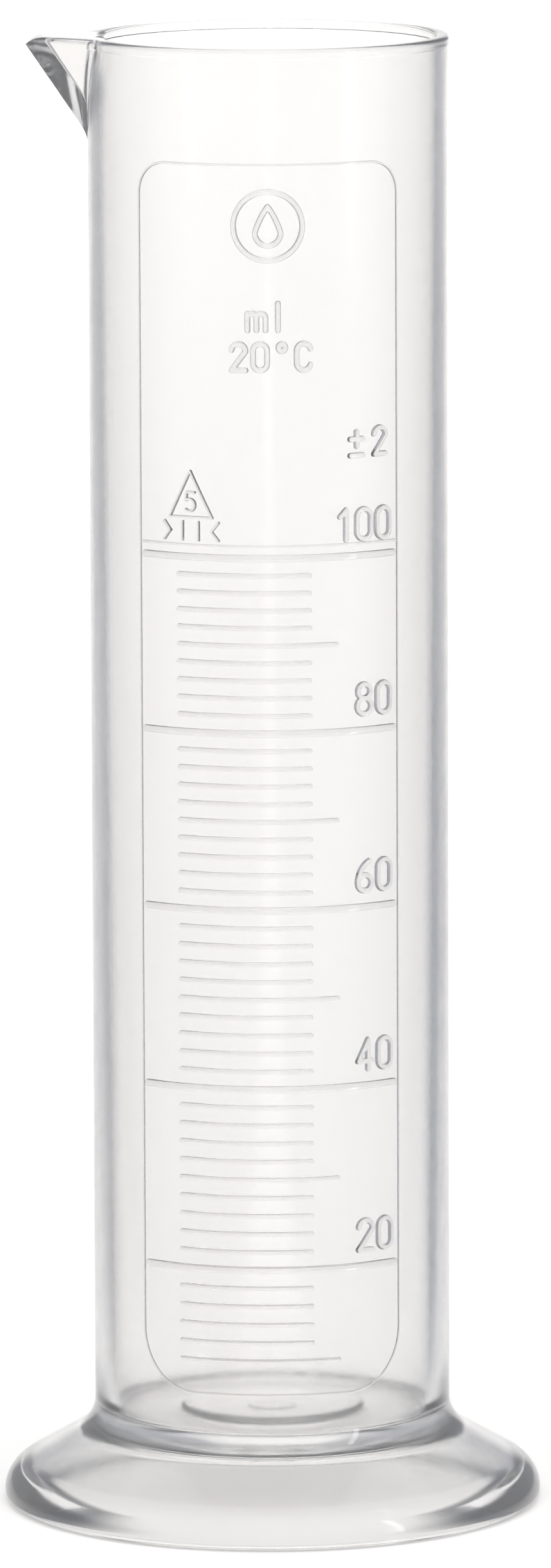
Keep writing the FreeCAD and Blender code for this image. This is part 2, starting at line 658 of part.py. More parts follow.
os.makedirs("parts", exist_ok=True)
for label, piece in pieces.items():
    shape = piece.Shape
    if shape.isNull() or not shape.isValid() or not shape.Solids:
        raise RuntimeError(f"{label} has no valid shape")
    shape.exportStep(f"parts/{label}.step")
    print(f"{label:24s} {len(shape.Solids):3d} solids {shape.Volume:10.2f} mm3")
print(f"rim at {size(RIM):.2f} mm, top line at {size(TOP_LINE_Z):.2f} mm")
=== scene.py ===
import math

import bmesh
import bpy
import numpy as np
from mathutils import Matrix, Vector


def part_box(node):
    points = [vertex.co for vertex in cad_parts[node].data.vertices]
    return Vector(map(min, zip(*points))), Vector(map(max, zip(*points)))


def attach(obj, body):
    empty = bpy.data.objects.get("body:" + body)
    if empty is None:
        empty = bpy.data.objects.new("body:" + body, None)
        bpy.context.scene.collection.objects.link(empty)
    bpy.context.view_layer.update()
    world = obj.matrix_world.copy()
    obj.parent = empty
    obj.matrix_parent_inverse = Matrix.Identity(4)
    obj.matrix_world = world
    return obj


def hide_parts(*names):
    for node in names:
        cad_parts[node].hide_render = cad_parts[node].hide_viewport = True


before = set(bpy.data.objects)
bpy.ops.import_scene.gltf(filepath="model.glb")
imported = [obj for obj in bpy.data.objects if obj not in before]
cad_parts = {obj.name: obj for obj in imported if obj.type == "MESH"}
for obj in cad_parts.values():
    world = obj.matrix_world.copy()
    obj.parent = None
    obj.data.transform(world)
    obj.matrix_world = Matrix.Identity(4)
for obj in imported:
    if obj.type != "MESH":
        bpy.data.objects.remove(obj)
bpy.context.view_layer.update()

MM = 0.001

# ---------------------------------------------------------------- sizes read from the frame


def low(node):
    """The lowest corner of a node's box."""
    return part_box(node)[0]


def high(node):
    """The highest corner of a node's box."""
    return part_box(node)[1]


def points_of(node):
    return np.array([vertex.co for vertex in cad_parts[node].data.vertices])


def radii(node):
    """The smallest and largest distance of a node's surface from the tube's axis."""
    spread = np.hypot(*points_of(node)[:, :2].T)
    return float(spread.min()), float(spread.max())


RIM = high("rim_bead")[2]
BEAD_BOTTOM = low("rim_bead")[2]
BEAD_R = radii("rim_bead")[1]
RIM_R = radii("tube_wall")[1]
TUBE_R = radii("line_080_ml")[0]
RELIEF = radii("line_080_ml")[1] - TUBE_R
BORE_TOP_R = radii("rim_bead")[0]
BORE_R = high("tube_floor")[0]
COLLAR_TOP = high("base_collar")[2]
FLOOR_TOP = low("floor_disc")[2]
FLOOR_BOTTOM = low("tube_floor")[2]
FOOT_R = high("foot_lip")[0]
HOLLOW_LIP_R = radii("foot_lip")[0]
SPOUT_HALF = high("pouring_spout")[1]
LONG_LINE = high("line_080_ml")[2] - low("line_080_ml")[2]
SHORT_LINE = high("line_090_ml")[2] - low("line_090_ml")[2]
WITNESS_RELIEF = radii("panel_line")[1] - TUBE_R

# ---------------------------------------------------------------- sizes chosen here

GAP = 0.012 * MM  # between the moulding and each raised mark
FLARE_LENGTH = 10 * MM
BEAD_STEP = 0.12 * MM  # height over which the wall steps out to the bead
RIM_ROUND = 0.5 * MM
RIM_SHARE = 0.42  # of the wall, which the rim's rounding keeps to at most
FLOOR_ROUND = 0.9 * MM
COLLAR_ROUND = 4.5 * MM
LIP_ROUND = 3.8 * MM
LIP_FOOT = 1.1 * MM
LIP_INSIDE_ROUND = 0.4 * MM
HOLLOW_ROUND = 1.2 * MM
HOLLOW_EASE = 0.5 * MM  # between the skirt's wall and its lip, on the inside
DISC_EDGE = 0.5 * MM  # width of the soft edge of the two low discs
DISC_FLAT = 0.6 * MM  # from a disc's rim to the first ring on the flat round it
SKIRT_WALL = 1.6 * MM
SLOPE = math.radians(30)

SPOUT_REACH = 7.45 * MM
SPOUT_NOSE = 1.6 * MM
SPOUT_EDGE = 2.9 * MM  # rounding from the spout's top down to its nose
SPOUT_DEPTH = 11.4 * MM
SHARP_TIP = TUBE_R + SPOUT_REACH
SPOUT_APEX = TUBE_R - 0.3 * MM  # the V ends inside the wall, so that it runs out softly
TIP_WALL = 3.35 * MM  # between the channel's tip and the spout's
CHANNEL_NOSE = 1.0 * MM
CHANNEL_DEPTH = 8.6 * MM
CHANNEL_TIP = SHARP_TIP - TIP_WALL
CHANNEL_APEX = BORE_TOP_R - 0.35 * MM
SPOUT_BLEND = 0.7 * MM  # over which the spout and its channel run into the wall
SPOUT_TURN = math.radians(60)  # no part of the spout lies further round than this

# Spacing of the vessel's mesh: columns round it and rings along its section.
SPOUT_SECTOR = math.radians(24)  # to either side of the spout the columns are fine
FINE_COLUMN = math.radians(0.3)
PLAIN_COLUMN = math.radians(1.2)
LAST_COLUMN = 0.001  # radians kept free, so that the last column doesn't meet the first
PLAIN_RINGS = 30
SPOUT_RING = 0.33 * MM
RIM_RING = 0.1 * MM
FLAT_RING = 1.2 * MM
SKIRT_RING = 1.0 * MM
LIP_RING = 0.6 * MM
CONE_RING = 0.5 * MM

STROKE = 0.65 * MM
CELLS_ACROSS = 11  # of a figure's grid, over the width of a stroke
WITNESS_LINE = 0.28 * MM
WITNESS_STEP = 1.0 * MM
PANEL_TOP_ROUND = 3.5 * MM
PANEL_FOOT_ROUND = 6.9 * MM
LONGEST_SHORT_LINE = 25 * MM
LINE_STEPS = 90

STRIP_HALF = 0.033  # half the width of the white, glowing strip of paper beside the part; outside it the floor has painted shade
STRIP_SPREAD = 0.32  # how fast it widens behind the part
STRIP_LENGTH = 4.0
# The floor's glow is painted light: weaker just behind the part (painted shade near it) than far behind it.
GLOW_NEAR = 0.32
GLOW_FAR = 0.49
GLOW_FRONT = 0.14  # painted light added in front of the part's middle, where the part's shadow falls
PAPER = (0.955, 0.945, 0.93, 1.0)
# Painted shade on the floor outside the white strip: grey, lighter on the left than the right, paler far
# behind, bluish pale grey in front.
PAPER_SHADE_LEFT = (0.58, 0.58, 0.60)
PAPER_SHADE_RIGHT = (0.44, 0.45, 0.49)
PAPER_SHADE_FAR = (0.85, 0.85, 0.87, 1.0)
PAPER_SHADE_FRONT = (0.84, 0.86, 0.90, 1.0)
WHITE = (1.0, 1.0, 1.0)
# A painted contact shadow: a dark ring on the floor under the foot's lip, with a softer edge outside it.
CONTACT_SHADE = (0.1, 0.12, 0.16)
CONTACT_SHADOW_EDGE = (0.7, 0.7, 0.7)
CONTACT_REACH = 0.04  # radius of which the painted contact shadow's stops are shares
DOME = (0.74, 0.74, 0.74, 1.0)
FLOOR_CLEARANCE = 0.02 * MM

CAMERA_PLACE = (0.00062, -1.302, 0.280)
CAMERA_DOWN = math.radians(8.70)
CAMERA_ROLL = math.radians(-0.226)
FOCAL_LENGTH = 271.9
LIGHT_BOUNCES = 32
DIFFUSE_BOUNCES = 12

# ---------------------------------------------------------------- materials


class Nodes:
    """Adds nodes to a tree and sets their inputs, from numbers or from other nodes' outputs."""

    def __init__(self, tree):
        self.tree = tree
        tree.nodes.clear()

    def add(self, kind, inputs=None, **settings):
        node = self.tree.nodes.new(kind)
        for name, value in settings.items():
            setattr(node, name, value)
        for name, value in (inputs or {}).items():
            self.put(node.inputs[name], value)
        return node

    def put(self, socket, value):
        if isinstance(value, bpy.types.NodeSocket):
            self.tree.links.new(value, socket)
        else:
            socket.default_value = value

    def ramp(self, factor, stops):
        node = self.add("ShaderNodeValToRGB", {"Fac": factor})
        node.color_ramp.interpolation = "EASE"
        elements = node.color_ramp.elements
        while len(elements) < len(stops):
            elements.new(0.5)
        for element, (place, colour) in zip(elements, stops):
            element.position = place
            element.color = (*colour, 1)
        return node.outputs["Color"]

    def math(self, operation, first, second=0.0):
        node = self.add("ShaderNodeMath", operation=operation)
        for socket, value in zip(node.inputs, (first, second)):
            self.put(socket, value)
        return node.outputs["Value"]

    def mix(self, factor, first, second, blend_type="MIX"):
        """Two colours blended; the colour sockets of this node are its inputs 6 and 7 and its output 2."""
        node = self.add("ShaderNodeMix", {"Factor": factor}, data_type="RGBA", blend_type=blend_type)
        self.put(node.inputs[6], first)
        self.put(node.inputs[7], second)
        return node.outputs[2]

    def span(self, value, start, finish, first=0.0, last=1.0, **settings):
        """A value between start and finish mapped to one between first and last, and held beyond them."""
        return self.add("ShaderNodeMapRange", {
            "Value": value, "From Min": start, "From Max": finish, "To Min": first, "To Max": last,
        }, **settings).outputs["Result"]

    def stretch(self, value, least, most):
        """A noise value between 0.3 and 0.7 stretched between two values."""
        return self.span(value, 0.3, 0.7, least, most)


def polypropylene_material():
    material = bpy.data.materials.new("natural_polypropylene")
    material.use_nodes = True
    n = Nodes(material.node_tree)
    place = n.add("ShaderNodeTexCoord").outputs["Object"]
    tall = n.add("ShaderNodeMapping", {"Vector": place, "Scale": (1, 1, 0.22)}).outputs["Vector"]
    flow = n.add("ShaderNodeTexNoise", {"Vector": tall, "Scale": 60.0, "Detail": 3.0}).outputs["Fac"]
    haze = n.add("ShaderNodeTexNoise", {"Vector": place, "Scale": 900.0, "Detail": 4.0}).outputs["Fac"]
    grain = n.add("ShaderNodeTexNoise", {"Vector": place, "Scale": 4200.0, "Detail": 2.0}).outputs["Fac"]
    ripple = n.add("ShaderNodeBump", {
        "Height": flow, "Strength": 0.10, "Distance": 0.4 * MM}).outputs["Normal"]
    skin = n.add("ShaderNodeBump", {
        "Height": grain, "Strength": 0.05, "Distance": 0.01 * MM, "Normal": ripple}).outputs["Normal"]
    tint = n.ramp(flow, [(0.30, (0.988, 0.979, 0.966)), (0.70, (0.998, 0.993, 0.986))])
    surface = n.add("ShaderNodeBsdfPrincipled", {
        "Base Color": tint,
        "Roughness": n.stretch(haze, 0.07, 0.13),
        "IOR": 1.49,
        "Transmission Weight": 0.95,
        "Subsurface Weight": 1.0,
        "Subsurface Radius": (1.0, 0.95, 0.9),
        "Subsurface Scale": 4 * MM,
        "Normal": skin,
    })
    n.add("ShaderNodeOutputMaterial", {"Surface": surface.outputs["BSDF"]})
    return material


def floor_material():
    """White paper under the part and in a widening strip behind it, lit by a painted glow; painted shade
    makes it pale grey to either side, and a painted contact shadow rings the foot's lip.
    """
    material = bpy.data.materials.new("pale_floor")
    material.use_nodes = True
    n = Nodes(material.node_tree)
    place = n.add("ShaderNodeTexCoord").outputs["Object"]
    axes = n.add("ShaderNodeSeparateXYZ", {"Vector": place})
    aside, along = axes.outputs["X"], axes.outputs["Y"]

    half = n.span(along, 0.0, STRIP_LENGTH, STRIP_HALF, STRIP_HALF + STRIP_LENGTH * STRIP_SPREAD)
    share = n.math("DIVIDE", n.math("ABSOLUTE", aside), half)
    strip = n.span(share, 0.9, 1.65, 1.0, 0.0, interpolation_type="SMOOTHSTEP")
    far = n.span(along, 0.1, 1.6)

    # Painted shade outside the strip: grey, lighter left than right, paler far behind, bluish pale grey in
    # front; white paper inside the strip.
    painted_side_shade = n.ramp(n.span(aside, -0.05, 0.05), [(0.0, PAPER_SHADE_LEFT), (1.0, PAPER_SHADE_RIGHT)])
    beside = n.mix(n.span(far, 0.0, 1.0, 0.0, 0.4), painted_side_shade, PAPER_SHADE_FAR)
    shaded_paper = n.mix(strip, n.mix(n.span(along, -0.05, -0.30), beside, PAPER_SHADE_FRONT), PAPER)

    # Painted contact shadow: a dark ring under the foot's lip, darkening both the paper and its glow.
    middle = n.add("ShaderNodeVectorMath", {"Vector": place}, operation="LENGTH").outputs["Value"]
    painted_contact_shadow = n.ramp(n.math("DIVIDE", middle, CONTACT_REACH), [
        (0.0, WHITE), (0.61, WHITE), (0.65, CONTACT_SHADE), (0.69, CONTACT_SHADE),
        (0.72, CONTACT_SHADOW_EDGE), (0.76, WHITE)])

    # Painted light: the floor's glow, weaker just behind the part than far behind, with more in front of
    # its middle, and only in the strip.
    behind_glow = n.span(far, 0.0, 1.0, GLOW_NEAR, GLOW_FAR)
    front_glow = n.span(along, 0.0, -0.02, 0.0, GLOW_FRONT)
    glow = n.math("MULTIPLY", strip, n.math("ADD", behind_glow, front_glow))
    cloud = n.add("ShaderNodeTexNoise", {"Vector": place, "Scale": 3.0, "Detail": 3.0}).outputs["Fac"]
    surface = n.add("ShaderNodeBsdfPrincipled", {
        # The shaded paper multiplied by the painted contact shadow.
        "Base Color": n.mix(1.0, shaded_paper, painted_contact_shadow, blend_type="MULTIPLY"),
        "Roughness": n.stretch(cloud, 0.85, 0.95),
        # Painted light: the floor's warm glow, warmer far behind, dimmed by the painted contact shadow.
        "Emission Color": n.ramp(far, [(0.0, (1.0, 0.985, 0.975)), (1.0, (1.0, 0.98, 0.945))]),
        "Emission Strength": n.math("MULTIPLY", glow, painted_contact_shadow),
    })
    n.add("ShaderNodeOutputMaterial", {"Surface": surface.outputs["BSDF"]})
    return material


POLYPROPYLENE = polypropylene_material()

# ---------------------------------------------------------------- meshes


def add_piece(name, points, faces, *nodes):
    """A smooth closed mesh that takes the place of CAD nodes and rides the part."""
    mesh = bpy.data.meshes.new(name)
    mesh.from_pydata([tuple(point) for point in points], [], faces)
    shell = bmesh.new()
    shell.from_mesh(mesh)
    bmesh.ops.remove_doubles(shell, verts=shell.verts, dist=0.0002 * MM)
    bmesh.ops.recalc_face_normals(shell, faces=shell.faces)
    shell.to_mesh(mesh)
    shell.free()
    mesh.polygons.foreach_set("use_smooth", [True] * len(mesh.polygons))
    mesh.materials.append(POLYPROPYLENE)
    piece = bpy.data.objects.new(name, mesh)
    bpy.context.scene.collection.objects.link(piece)
    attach(piece, "root")
    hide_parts(*nodes)
    return piece


def ring_faces(rings, columns, first=0, closed=False):
    """Quads between neighbouring rings; the rings close on themselves, and the last may meet the first."""
    faces = []
    for ring in range(rings if closed else rings - 1):
        here = first + ring * columns
        there = first + (ring + 1) % rings * columns
        for column in range(columns):
            beside = (column + 1) % columns
            faces.append((here + column, here + beside, there + beside, there + column))
    return faces


def arc(centre, radius, start, finish, steps):
    """Points on an arc in the section, angles in degrees from the outward direction."""
    turns = np.radians(np.linspace(start, finish, steps + 1))
    return [(centre[0] + radius * math.cos(a), centre[1] + radius * math.sin(a)) for a in turns]


def straight(start, finish, step):
    """Points from start up to but not including finish."""
    count = max(1, round(math.dist(start, finish) / step))
    return [tuple(np.array(start) + (np.array(finish) - start) * i / count) for i in range(count)]


def joined(*runs):
    """Runs of section points joined into one line, without points that fall together."""
    line = []
    for point in (point for run in runs for point in run):
        if not line or math.dist(line[-1], point) > 0.01 * MM:
            line.append(point)
    return line


# ---------------------------------------------------------------- the moulding


def smooth_max(a, b, blend):
    """The larger of two values, rounded where they are close."""
    near = np.maximum(blend - np.abs(a - b), 0) / blend
    return np.maximum(a, b) + near ** 2 * blend / 4


def wedge(across, centre, nose, slant):
    """How far a V with a round nose reaches from the tube's axis, at angles to either side of it."""
    turn = np.minimum(np.abs(across), SPOUT_TURN)
    side = (nose + centre * math.sin(slant)) / np.sin(slant + turn)
    tangent = math.atan2(nose * math.cos(slant), centre + nose * math.sin(slant))
    rounded = centre * np.cos(turn) + np.sqrt(np.maximum(nose ** 2 - (centre * np.sin(turn)) ** 2, 0))
    return np.where(turn <= tangent, rounded, side)


def tapered(across, height, tip, nose, apex, depth):
    """The same V, shrinking evenly from the rim down to its apex."""
    share = 1 - (RIM - height) / depth
    if share <= 0:
        return np.zeros_like(across)
    run = SHARP_TIP - SPOUT_NOSE - math.sqrt(BEAD_R ** 2 - SPOUT_HALF ** 2)
    slant = math.atan2(SPOUT_HALF, run) - math.asin(SPOUT_NOSE / math.hypot(run, SPOUT_HALF))
    return wedge(across, apex + share * (tip - nose - apex), share * nose, slant)


def outside(across, height):
    """Radius of the tube's outside, with the bead and the spout."""
    widening = np.clip((height - BEAD_BOTTOM) / FLARE_LENGTH + 1, 0, 1)
    wall = TUBE_R - GAP + (RIM_R - TUBE_R) * widening
    bead = np.clip((height - BEAD_BOTTOM) / BEAD_STEP + 0.5, 0, 1)
    wall = wall + (BEAD_R - RIM_R) * bead ** 2 * (3 - 2 * bead)
    spout = tapered(across, height, SHARP_TIP, SPOUT_NOSE, SPOUT_APEX, SPOUT_DEPTH)
    under = RIM - height
    if under < SPOUT_EDGE:
        reach = SHARP_TIP - SPOUT_EDGE + math.sqrt(SPOUT_EDGE ** 2 - (SPOUT_EDGE - under) ** 2)
        spout = np.minimum(spout, reach / np.cos(np.minimum(np.abs(across), SPOUT_TURN)))
    return smooth_max(wall, spout, SPOUT_BLEND) if spout.any() else wall + 0 * across


def bore(across, height):
    """Radius of the drafted bore, with the pouring channel."""
    share = (height - FLOOR_TOP) / (RIM - FLOOR_TOP)
    wall = BORE_R + (BORE_TOP_R - BORE_R) * share
    channel = tapered(across, height, CHANNEL_TIP, CHANNEL_NOSE, CHANNEL_APEX, CHANNEL_DEPTH)
    return smooth_max(wall, channel, SPOUT_BLEND) if channel.any() else wall + 0 * across


def step_in_flat(radius, level, surroundings):
    """The section of a low round disc, from the axis out to the flat round it, with soft edges."""
    step = surroundings - level
    edge = [
        (radius + DISC_EDGE * share, level + step * (3 * share ** 2 - 2 * share ** 3))
        for share in np.linspace(0, 1, 9)]
    return straight((0, level), (radius, level), FLAT_RING) + edge


def below_the_tube():
    """The section of the foot: from the axis under the floor, out round the lip and up to the tube."""
    steep = 90 - math.degrees(SLOPE)
    outward = np.array((math.sin(SLOPE), math.cos(SLOPE)))
    downhill = np.array((math.cos(SLOPE), -math.sin(SLOPE)))
    lip_centre = (FOOT_R - LIP_ROUND, LIP_FOOT)
    cone_low = lip_centre + LIP_ROUND * outward
    collar_r = TUBE_R + COLLAR_ROUND
    cone_high_r = collar_r - COLLAR_ROUND * math.sin(SLOPE)
    cone_high = np.array((cone_high_r, cone_low[1] + (cone_low[0] - cone_high_r) * math.tan(SLOPE)))

    inner_low = cone_low - SKIRT_WALL * outward
    inner_high = cone_high - SKIRT_WALL * outward
    hollow_r = inner_high[0] - (FLOOR_BOTTOM - inner_high[1]) / math.tan(SLOPE)
    knee = HOLLOW_ROUND * math.tan(SLOPE / 2)
    floor_end = (hollow_r - knee, FLOOR_BOTTOM)
    skirt_start = np.array((hollow_r, FLOOR_BOTTOM)) + knee * downhill
    skirt_end = inner_low - HOLLOW_EASE * downhill
    lip_in = np.array((HOLLOW_LIP_R, HOLLOW_EASE))
    past_corner = inner_low + 0.12 * (lip_in - inner_low)
    mark_r = high("gate_mark")[0]
    return joined(
        step_in_flat(mark_r, low("gate_mark")[2], FLOOR_BOTTOM),
        straight((mark_r + DISC_FLAT, FLOOR_BOTTOM), floor_end, FLAT_RING),
        arc((floor_end[0], FLOOR_BOTTOM - HOLLOW_ROUND), HOLLOW_ROUND, 90, steep, 5),
        straight(skirt_start, skirt_end, SKIRT_RING),
        [skirt_end],
        straight(past_corner, lip_in, LIP_RING),
        [lip_in],
        arc((HOLLOW_LIP_R + LIP_INSIDE_ROUND, LIP_INSIDE_ROUND), LIP_INSIDE_ROUND, 190, 270, 5),
        arc((FOOT_R - LIP_FOOT, LIP_FOOT), LIP_FOOT, -90, 0, 9),
        arc(lip_centre, LIP_ROUND, 0, steep, 12),
        straight(cone_low, cone_high, CONE_RING),
        arc((collar_r, COLLAR_TOP), COLLAR_ROUND, 180 + steep, 180, 14),
    )


def above_the_floor():
    """The section inside the tube: from the bore's foot round to the floor's disc and the axis."""
    disc_r = high("floor_disc")[0]
    corner_r = BORE_R - FLOOR_ROUND
    rounding = arc((corner_r, FLOOR_TOP + FLOOR_ROUND), FLOOR_ROUND, 0, -90, 8)[1:]
    flat = straight((corner_r, FLOOR_TOP), (disc_r + DISC_FLAT, FLOOR_TOP), FLAT_RING)[1:]
    return rounding + flat + step_in_flat(disc_r, high("floor_disc")[2], FLOOR_TOP)[::-1]


def columns_round():
    """Angles round the tube, measured from the spout to either side."""
    across = np.concatenate([
        np.arange(-SPOUT_SECTOR, SPOUT_SECTOR, FINE_COLUMN),
        np.arange(SPOUT_SECTOR, math.tau - SPOUT_SECTOR - LAST_COLUMN, PLAIN_COLUMN),
    ])
    return np.where(across > math.pi, across - math.tau, across)


def rim_rounding(side):
    """Rings over the rim, from the outside round to the bore."""
    rounding = np.minimum(RIM_ROUND, RIM_SHARE * (outside(side, RIM) - bore(side, RIM)))
    turns = np.radians(np.linspace(0, 90, 9))
    rings = []
    for surface, inward, order in ((outside, -1, turns), (bore, 1, turns[::-1])):
        for turn in order:
            drop = rounding * (1 - math.sin(turn))
            radius = np.array([surface(side[i:i + 1], RIM - drop[i])[0] for i in range(len(side))])
            rings.append((radius + inward * rounding * (1 - math.cos(turn)), RIM - drop))
    return rings


def vessel():
    """The whole moulding as one closed skin: under the foot, up the outside, over the rim, down inside."""
    side = columns_round()
    spout_zone = RIM - SPOUT_DEPTH - 1.0 * MM
    zone_gap = 0.4 * MM
    rim_gap = 0.15 * MM
    bead = BEAD_BOTTOM + np.linspace(-BEAD_STEP, BEAD_STEP, 7)
    rising = np.concatenate([
        np.linspace(COLLAR_TOP, spout_zone, PLAIN_RINGS)[1:],
        np.arange(spout_zone + zone_gap, bead[0], SPOUT_RING),
        bead,
        np.arange(bead[-1] + RIM_RING, RIM - RIM_ROUND, RIM_RING),
    ])
    falling = np.concatenate([
        np.arange(RIM - RIM_ROUND - rim_gap, spout_zone, -SPOUT_RING),
        np.linspace(spout_zone, FLOOR_TOP + FLOOR_ROUND, PLAIN_RINGS),
    ])

    meets_tube = COLLAR_TOP - 1.0 * MM
    rings = [(radius - GAP * (height > meets_tube), height) for radius, height in below_the_tube()]
    rings += [(outside(side, height), height) for height in rising]
    rings += rim_rounding(side)
    rings += [(bore(side, height), height) for height in falling]
    rings += above_the_floor()

    radius = np.array([ring[0] + 0 * side for ring in rings])
    height = np.array([ring[1] + 0 * side for ring in rings])
    points = np.stack([-radius * np.cos(side), -radius * np.sin(side), height], axis=-1)
    add_piece(
        "moulded_vessel", points.reshape(-1, 3), ring_faces(len(rings), len(side)),
        "tube_wall", "rim_bead", "pouring_spout", "base_collar", "tube_floor", "foot_skirt", "foot_lip",
        "floor_disc", "gate_mark")


# ---------------------------------------------------------------- raised lines and figures


def shoulder_height(share, flat=0.3, power=2.2):
    """Height of a raised stroke over its half width: flat in the middle, round at its edge."""
    outer = np.clip((share - flat) / (1 - flat), 0, 1)
    return (1 - outer ** power) ** (1 / power)


def on_wall(points):
    """Points (arc, height, relief) laid on the tube; the arc is measured from -Y towards +X."""
    along, height, relief = np.asarray(points).T
    turn = along / TUBE_R
    radius = TUBE_R + relief
    return np.stack([radius * np.sin(turn), -radius * np.cos(turn), height], axis=-1)


def place_of(node):
    """Where a mark lies on the unrolled wall: left, right, bottom, top."""
    x, y, z = points_of(node).T
    turn = np.arctan2(x, -y) * TUBE_R
    return turn.min(), turn.max(), z.min(), z.max()


# Where the rings over a stroke's half width lie, closer together towards its edge.
SHARES = np.array([0, 0.3, 0.5, 0.68, 0.82, 0.92, 0.98, 1.0])


def offset_rings(path, half, closed, relief):
    """Rings round a stroke's middle line, from its foot's middle over its edge to its crest."""
    ahead = np.gradient(path, axis=0)
    if closed:
        ahead = np.roll(path, -1, axis=0) - np.roll(path, 1, axis=0)
    ahead /= np.linalg.norm(ahead, axis=1)[:, None]
    left = np.stack([-ahead[:, 1], ahead[:, 0]], axis=-1)
    steps = [(share, 0.0) for share in SHARES] + [(share, shoulder_height(share)) for share in SHARES[::-1]]
    if closed:
        both = [(-share, rise) for share, rise in steps[1:-1]] + steps[::-1]
        flat = np.ones(len(path))
        return [np.column_stack([path + left * half * share, flat * relief * rise]) for share, rise in both]
    caps = np.radians(np.linspace(90, -90, 13)[1:-1])
    rings = []
    for share, rise in steps:
        reach = half * share
        end = [path[-1] + reach * (ahead[-1] * math.cos(a) + left[-1] * math.sin(a)) for a in caps]
        start = [path[0] - reach * (ahead[0] * math.cos(a) + left[0] * math.sin(a)) for a in caps]
        outline = np.concatenate([path + left * reach, end, (path - left * reach)[::-1], start])
        rings.append(np.column_stack([outline, np.full(len(outline), relief * rise)]))
    return rings


def swept(strokes, closed=False):
    """Points and faces of strokes, each (path, width, relief)."""
    points, faces = [], []
    for path, width, relief in strokes:
        rings = offset_rings(np.asarray(path), width / 2, closed, relief)
        faces += ring_faces(len(rings), len(rings[0]), len(points), closed)
        points += list(on_wall(np.concatenate(rings)))
    return points, faces


def scale_lines(node, count):
    """A group of level lines of one length, evenly spaced over the CAD node's height."""
    left, right, bottom, top = place_of(node)
    thick = LONG_LINE if count == 1 and right - left > LONGEST_SHORT_LINE else SHORT_LINE
    half = thick / 2
    levels = np.linspace(bottom + half, top - half, count)
    along = np.linspace(left + half, right - half, LINE_STEPS)
    strokes = [(np.column_stack([along, np.full(LINE_STEPS, level)]), thick, RELIEF) for level in levels]
    add_piece(f"{node}_raised", *swept(strokes), node)


BELLY = 0.265  # radius of a figure's bowl
WIDTH = 2 * BELLY

# The middle lines of each figure's strokes, one unit high: (x, y) goes there straight,
# (x, y, x, y) goes through the first point to the second on an arc.
FIGURES = {
    "0": [[(0, BELLY), (0, 1 - BELLY), (BELLY, 1, WIDTH, 1 - BELLY),
           (WIDTH, BELLY), (BELLY, 0, 0, BELLY)]],
    "1": [[(0.05, 0.78), (BELLY, 1), (BELLY, 0)]],
    "2": [[(0, 0.76), (BELLY, 1, WIDTH, 0.70), (0, 0), (WIDTH, 0)]],
    "4": [[(0.38, 1), (0, 0.28), (WIDTH, 0.28)], [(0.38, 1), (0.38, 0)]],
    "5": [[(0.50, 1), (0.06, 1), (0.02, 0.58), (WIDTH, 0.31, 0, 0.10)]],
    "6": [[(0.44, 1), (0.10, 0.66, 0, BELLY)],
          [(0, BELLY), (BELLY, 0, WIDTH, BELLY), (BELLY, WIDTH, 0, BELLY)]],
    "8": [[(BELLY, 0), (0, BELLY, BELLY, WIDTH), (WIDTH, BELLY, BELLY, 0)],
          [(BELLY, WIDTH), (0.03, 0.765, BELLY, 1), (0.50, 0.765, BELLY, WIDTH)]],
    "C": [[(WIDTH, 0.80), (BELLY, 1, 0, 1 - BELLY), (0, BELLY), (BELLY, 0, WIDTH, 0.20)]],
    "degree": [[(0.13, 0.72), (0, 0.86, 0.13, 1), (0.26, 0.86, 0.13, 0.72)]],
    "plus_minus": [[(0, 0.62), (WIDTH, 0.62)], [(BELLY, 0.90), (BELLY, 0.34)], [(0, 0), (WIDTH, 0)]],
    "m": [[(0, 0), (0, 0.62)],
          [(0, 0.46), (0.17, 0.63, 0.34, 0.46), (0.34, 0)],
          [(0.34, 0.46), (0.51, 0.63, 0.68, 0.46), (0.68, 0)]],
    "l": [[(0, 0), (0, 1)]],
    "open": [[(0.40, 0), (0, 0.50), (0.40, 1)]],
    "close": [[(0, 0), (0.40, 0.50), (0, 1)]],
    "triangle": [[(0.50, 1), (0, 0), (1, 0), (0.50, 1)]],
    "ring": [[(0.50, 0), (0, 0.50, 0.50, 1), (1, 0.50, 0.50, 0)]],
    "drop": [[(0.33, 1), (0.10, 0.60, 0, 0.33), (0.33, 0, 0.66, 0.33), (0.56, 0.60, 0.33, 1)]],
}


def bow(start, through, finish, steps=20):
    """Points after start on the arc through three points, or just the last if they are in line."""
    a, b, c = (complex(*point) for point in (start, through, finish))
    w = (c - a) / (b - a)
    if abs(w.imag) < 1e-9:
        return [finish]
    centre = a + (b - a) * (w - abs(w) ** 2) / (2j * w.imag)
    turn = [np.angle((p - centre) / (a - centre)) % math.tau for p in (b, c)]
    sweep = turn[1] if turn[0] < turn[1] else turn[1] - math.tau
    spots = [centre + (a - centre) * np.exp(1j * sweep * i / steps) for i in range(1, steps + 1)]
    return [(spot.real, spot.imag) for spot in spots]


def middle_lines(name):
    """A figure's middle lines as points, one unit high."""
    lines = []
    for stroke in FIGURES[name]:
        line = [stroke[0]]
        for step in stroke[1:]:
            line += [step] if len(step) == 2 else bow(line[-1], step[:2], step[2:])
        lines.append(np.array(line))
    return lines


def distances(spots, lines):
    """Distance of spots from the nearest line, and the direction away from it."""
    best = np.full(len(spots), np.inf)
    away = np.zeros_like(spots)
    for line in lines:
        for start, finish in zip(line[:-1], line[1:]):
            run = finish - start
            share = np.clip((spots - start) @ run / max(run @ run, 1e-12), 0, 1)
            gap = spots - start - share[:, None] * run
            far = np.linalg.norm(gap, axis=1)
            nearer = far < best
            best[nearer] = far[nearer]
            away[nearer] = gap[nearer]
    return best, away / np.maximum(best, 1e-9)[:, None]


